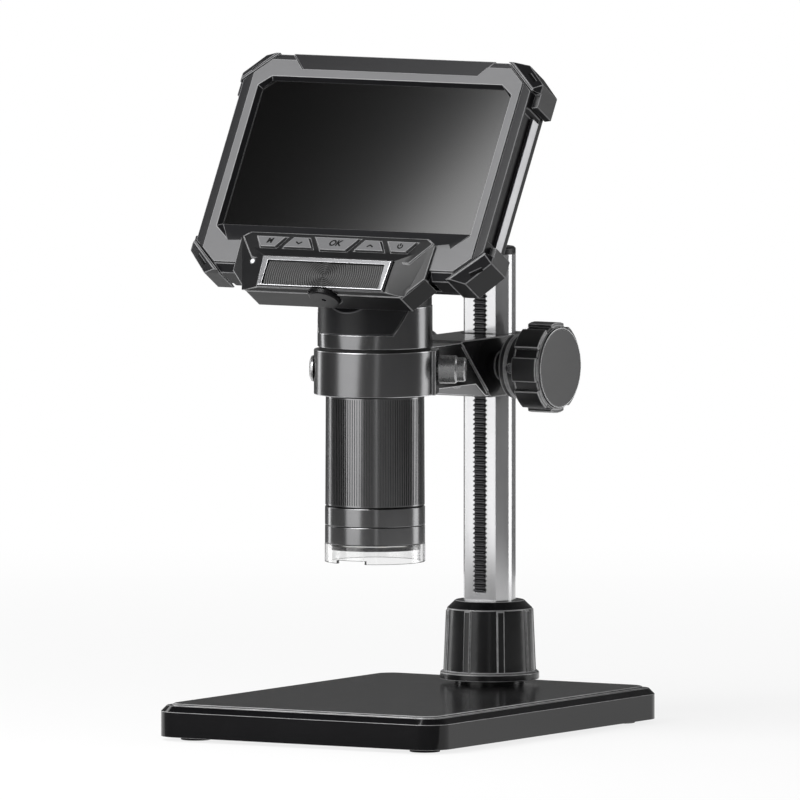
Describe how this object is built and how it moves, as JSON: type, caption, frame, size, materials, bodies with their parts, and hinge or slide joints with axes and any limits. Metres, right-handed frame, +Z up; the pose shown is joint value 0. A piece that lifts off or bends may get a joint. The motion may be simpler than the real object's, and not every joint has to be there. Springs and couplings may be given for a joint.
{
  "type": "digital microscope",
  "caption": "Portable digital microscope with a tilted screen on a swivelling tube, held by a rack-and-pinion carriage on a post above a flat base.",
  "frame": {"origin": "centre of the base's footprint on the table", "axes": "+Z up along the post, -Y towards the user, +X to the user's right"},
  "size_m": [0.115, 0.1474, 0.2229],
  "materials": {
    "gloss_black": "glossy",
    "stage_black": "satin",
    "foot_rubber": "matte",
    "post_chrome": "polished",
    "rack_steel": "satin",
    "steel": "satin",
    "carriage_black": "satin",
    "ring_grey": "satin",
    "nylon": "matte",
    "bronze": "satin",
    "knob_black": "satin",
    "knob_disc": "satin",
    "tube_grey": "satin",
    "tube_inside": "matte",
    "neck_black": "satin",
    "clear": "clear",
    "board": "satin",
    "lamp": "glossy",
    "chip": "glossy",
    "bezel_grey": "matte",
    "frame_black": "satin",
    "rail_silver": "satin",
    "screen": "glossy",
    "can": "satin",
    "cell": "satin",
    "console_grey": "satin",
    "decor": "satin",
    "decor_dark": "glossy",
    "button_grey": "satin"
  },
  "bodies": {
    "stand": {"base_plate": "gloss_black", "stage_panel": "stage_black", "rubber_feet": "foot_rubber", "post": "post_chrome", "post_cap": "stage_black", "post_bolt": "steel", "post_collar": "stage_black", "rack": "rack_steel"},
    "carriage": {"carriage_block": "carriage_black", "guide_liner": "nylon", "shaft_bushes": "bronze", "arm_screws": "steel", "holder_arm": "carriage_black", "ring_screw": "ring_grey"},
    "focus_drive": {"pinion_shaft": "steel", "knob_right": "knob_black", "knob_left": "knob_black", "knob_caps": "knob_disc", "knob_grub_screws": "steel"},
    "thumbscrew": {"clamp_screw": "ring_grey"},
    "head": {"neck_sleeve": "tube_grey", "swivel_washer": "nylon", "neck_adapter": "neck_black", "inner_tube": "tube_inside", "front_ring_upper": "tube_grey", "front_ring_lower": "tube_grey", "lamp_hood": "clear", "lamp_board": "board", "lamp_mask": "tube_inside", "lamps": "lamp", "sensor_board": "board", "image_sensor": "chip", "front_bezel": "bezel_grey", "frame": "frame_black", "top_strip": "frame_black", "side_rails": "rail_silver", "back_shell": "frame_black", "back_screws": "steel", "corner_guards": "frame_black", "screen_glass": "screen", "display_module": "can", "main_board": "board", "battery": "cell", "console": "console_grey", "status_light": "lamp", "decor_frame": "decor", "decor_plate": "decor_dark", "keypad_mat": "foot_rubber", "button_board": "board", "usb_socket": "can", "brightness_dimmer": "chip"},
    "focus_ring": {"focus_ring": "tube_grey"},
    "lens_carrier": {"lens_cell": "tube_inside", "lenses": "clear"},
    "brightness_wheel": {"brightness_wheel": "console_grey"},
    "menu_button": {"button_menu": "button_grey"},
    "down_button": {"button_down": "button_grey"},
    "confirm_button": {"button_confirm": "button_grey"},
    "up_button": {"button_up": "button_grey"},
    "power_button": {"button_power": "button_grey"}
  },
  "joints": [
    {"name": "carriage_slide", "type": "slide", "parent": "stand", "child": "carriage", "axis": [0, 0, 1], "range_m": [-0.044, 0.02]},
    {"name": "focus_drive_turn", "type": "hinge", "parent": "carriage", "child": "focus_drive", "pos_m": [0, 0.04045, 0.1186], "axis": [1, 0, 0], "range_deg": [-230, 506]},
    {"name": "clamp_turn", "type": "hinge", "parent": "carriage", "child": "thumbscrew", "pos_m": [0, -0.02155, 0.121], "axis": [0.9063, 0.4226, 0], "range_deg": [0, 720]},
    {"name": "head_swivel", "type": "hinge", "parent": "carriage", "child": "head", "pos_m": [0, -0.02155, 0.1], "axis": [0, 0, 1], "range_deg": [-180, 180]},
    {"name": "focus_ring_turn", "type": "hinge", "parent": "head", "child": "focus_ring", "pos_m": [0, -0.02155, 0.1], "axis": [0, 0, 1], "range_deg": [0, 300]},
    {"name": "lens_slide", "type": "slide", "parent": "head", "child": "lens_carrier", "axis": [0, 0, 1], "range_m": [0, 0.0061]},
    {"name": "brightness_turn", "type": "hinge", "parent": "head", "child": "brightness_wheel", "pos_m": [0, -0.02717, 0.19156], "axis": [0, 0.5075, 0.8616], "range_deg": [-140, 140]},
    {"name": "menu_press", "type": "slide", "parent": "head", "child": "menu_button", "axis": [0, 0.8616, -0.5075], "range_m": [0, 0.0006], "stiffness_N_per_m": 800, "springref_m": -0.0006},
    {"name": "down_press", "type": "slide", "parent": "head", "child": "down_button", "axis": [0, 0.8616, -0.5075], "range_m": [0, 0.0006], "stiffness_N_per_m": 800, "springref_m": -0.0006},
    {"name": "confirm_press", "type": "slide", "parent": "head", "child": "confirm_button", "axis": [0, 0.8616, -0.5075], "range_m": [0, 0.0006], "stiffness_N_per_m": 800, "springref_m": -0.0006},
    {"name": "up_press", "type": "slide", "parent": "head", "child": "up_button", "axis": [0, 0.8616, -0.5075], "range_m": [0, 0.0006], "stiffness_N_per_m": 800, "springref_m": -0.0006},
    {"name": "power_press", "type": "slide", "parent": "head", "child": "power_button", "axis": [0, 0.8616, -0.5075], "range_m": [0, 0.0006], "stiffness_N_per_m": 800, "springref_m": -0.0006}
  ],
  "couplings": [
    {"joint": "focus_drive_turn", "follows": "carriage_slide", "rad_per_m": -200},
    {"joint": "lens_slide", "follows": "focus_ring_turn", "m_per_rad": 0.0011459}
  ]
}
